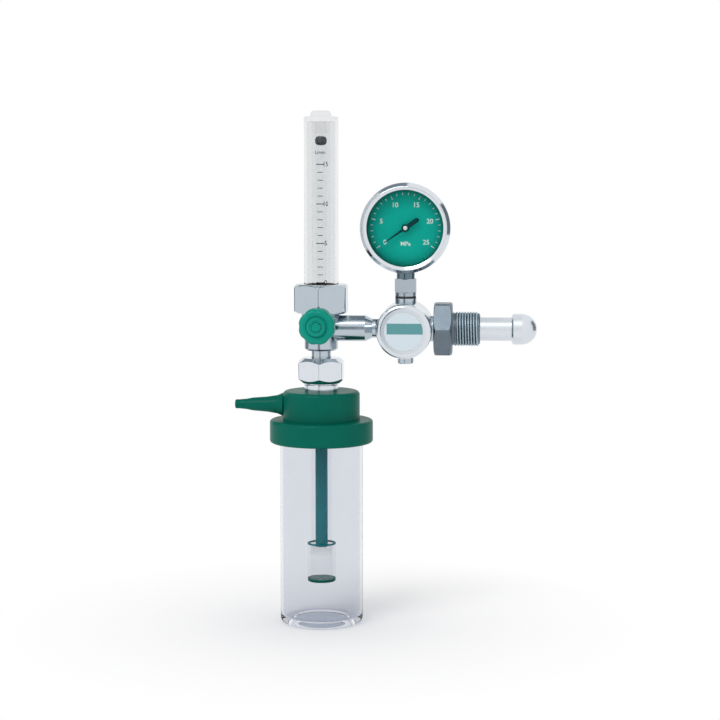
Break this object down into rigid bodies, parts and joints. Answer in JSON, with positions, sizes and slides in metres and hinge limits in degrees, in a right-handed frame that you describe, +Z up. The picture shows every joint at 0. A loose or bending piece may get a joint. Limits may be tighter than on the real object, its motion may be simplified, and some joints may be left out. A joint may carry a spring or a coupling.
{
  "type": "oxygen regulator",
  "caption": "Medical oxygen regulator with bull-nose inlet, contents gauge, float flowmeter with green knob and humidifier bottle under a green cap with an outlet spout.",
  "frame": {"origin": "on the gas axis, in the middle of the cylindrical land of the inlet nose", "axes": "+X towards the gas cylinder, -Y towards the side with the dial and the knob, +Z up in use"},
  "size_m": [0.201, 0.071, 0.3427],
  "materials": {
    "chrome": "polished chrome plate on brass",
    "brass": "machined",
    "spring_steel": "drawn steel",
    "green_plastic": "moulded, glossy",
    "clear_plastic": "clear, polished mould",
    "black_rubber": "matt",
    "dial_green": "satin print",
    "pointer_dark": "satin",
    "label_pale": "printed film"
  },
  "bodies": {
    "regulator": {"inlet_stem": "chrome", "inlet_filter": "brass", "reducer_body": "chrome", "bonnet": "chrome", "label_plate": "label_pale", "diaphragm": "black_rubber", "main_spring": "spring_steel", "poppet_spring": "spring_steel", "valve_plug": "brass", "relief_cap": "chrome", "relief_spring": "spring_steel", "outlet_arm": "chrome", "arm_seal": "black_rubber", "gauge_case": "chrome", "gauge_bezel": "chrome", "gauge_window": "clear_plastic", "gauge_dial": "dial_green", "movement_frame": "brass", "bourdon_tube": "brass", "gauge_socket": "chrome", "gauge_washer": "black_rubber", "flowmeter_body": "chrome", "gland_nut": "chrome", "metering_tube": "clear_plastic", "tube_seal": "black_rubber", "bottom_stop": "brass", "top_stop": "black_rubber", "tube_cushion": "clear_plastic", "tube_cover": "clear_plastic", "cover_seal": "black_rubber", "collar_nut": "chrome"},
    "valve": {"valve_poppet": "brass", "diaphragm_plate": "brass"},
    "relief_valve": {"relief_poppet": "brass"},
    "nut_carrier": {"nut_ring": "black_rubber"},
    "cylinder_nut": {"inlet_nut": "chrome"},
    "pointer": {"gauge_pointer": "pointer_dark", "pinion_arbor": "brass"},
    "sector": {"sector_gear": "brass"},
    "needle_seal": {"spindle_ring": "black_rubber"},
    "needle_and_knob": {"needle_spindle": "brass", "flow_knob": "green_plastic", "knob_screw": "spring_steel", "knob_cap": "green_plastic"},
    "float": {"float_ball": "spring_steel"},
    "union_seal": {"union_washer": "black_rubber"},
    "union": {"union_nut": "chrome"},
    "humidifier": {"humidifier_cap": "green_plastic", "cap_nipple": "chrome", "nipple_nut": "brass", "dip_tube": "green_plastic", "bubbler_sleeve": "clear_plastic", "diffuser": "clear_plastic", "diffuser_ring": "green_plastic"},
    "gasket": {"bottle_gasket": "black_rubber"},
    "water_bottle": {"bottle": "clear_plastic"}
  },
  "joints": [
    {"name": "nut_slide", "type": "slide", "parent": "regulator", "child": "nut_carrier", "axis": [1, 0, 0], "range_m": [0, 0.0206]},
    {"name": "nut_spin", "type": "hinge", "parent": "nut_carrier", "child": "cylinder_nut", "pos_m": [-0.045, 0, 0], "axis": [1, 0, 0], "continuous": true},
    {"name": "valve_lift", "type": "slide", "parent": "regulator", "child": "valve", "axis": [0, 1, 0], "range_m": [0, 0.0006], "stiffness_N_per_m": 1500, "deforming": ["main_spring", "poppet_spring", "diaphragm"]},
    {"name": "relief_lift", "type": "slide", "parent": "regulator", "child": "relief_valve", "axis": [0, 0, -1], "range_m": [0, 0.0006], "stiffness_N_per_m": 1000, "deforming": ["relief_spring"]},
    {"name": "pointer_turn", "type": "hinge", "parent": "regulator", "child": "pointer", "pos_m": [-0.0741, 0, 0.0668], "axis": [0, 1, 0], "range_deg": [0, 250]},
    {"name": "sector_turn", "type": "hinge", "parent": "regulator", "child": "sector", "pos_m": [-0.0741, 0, 0.0542], "axis": [0, 1, 0], "range_deg": [-42, 0]},
    {"name": "needle_lift", "type": "slide", "parent": "regulator", "child": "needle_seal", "axis": [0, -1, 0], "range_m": [0, 0.00251]},
    {"name": "knob_turn", "type": "hinge", "parent": "needle_seal", "child": "needle_and_knob", "pos_m": [-0.1304, -0.02, 0.0034], "axis": [0, -1, 0], "range_deg": [0, 900]},
    {"name": "float_rise", "type": "slide", "parent": "regulator", "child": "float", "axis": [0, 0, 1], "range_m": [0, 0.094]},
    {"name": "humidifier_swivel", "type": "hinge", "parent": "regulator", "child": "union_seal", "pos_m": [-0.1304, 0, -0.026], "axis": [0, 0, 1], "continuous": true},
    {"name": "union_turn", "type": "hinge", "parent": "union_seal", "child": "union", "pos_m": [-0.1304, 0, -0.03], "axis": [0, 0, 1], "range_deg": [0, 2160]},
    {"name": "humidifier_lower", "type": "slide", "parent": "union_seal", "child": "humidifier", "axis": [0, 0, -1], "range_m": [0, 0.00901]},
    {"name": "bottle_turn", "type": "hinge", "parent": "humidifier", "child": "gasket", "pos_m": [-0.1304, 0, -0.063], "axis": [0, 0, -1], "range_deg": [0, 630]},
    {"name": "bottle_lower", "type": "slide", "parent": "gasket", "child": "water_bottle", "axis": [0, 0, -1], "range_m": [0, 0.00701]}
  ],
  "couplings": [
    {"joint": "sector_turn", "follows": "pointer_turn", "ratio": -0.16667},
    {"joint": "needle_lift", "follows": "knob_turn", "m_per_rad": 0.00015915},
    {"joint": "humidifier_lower", "follows": "union_turn", "m_per_rad": 0.00023873},
    {"joint": "bottle_lower", "follows": "bottle_turn", "m_per_rad": 0.00063662}
  ]
}
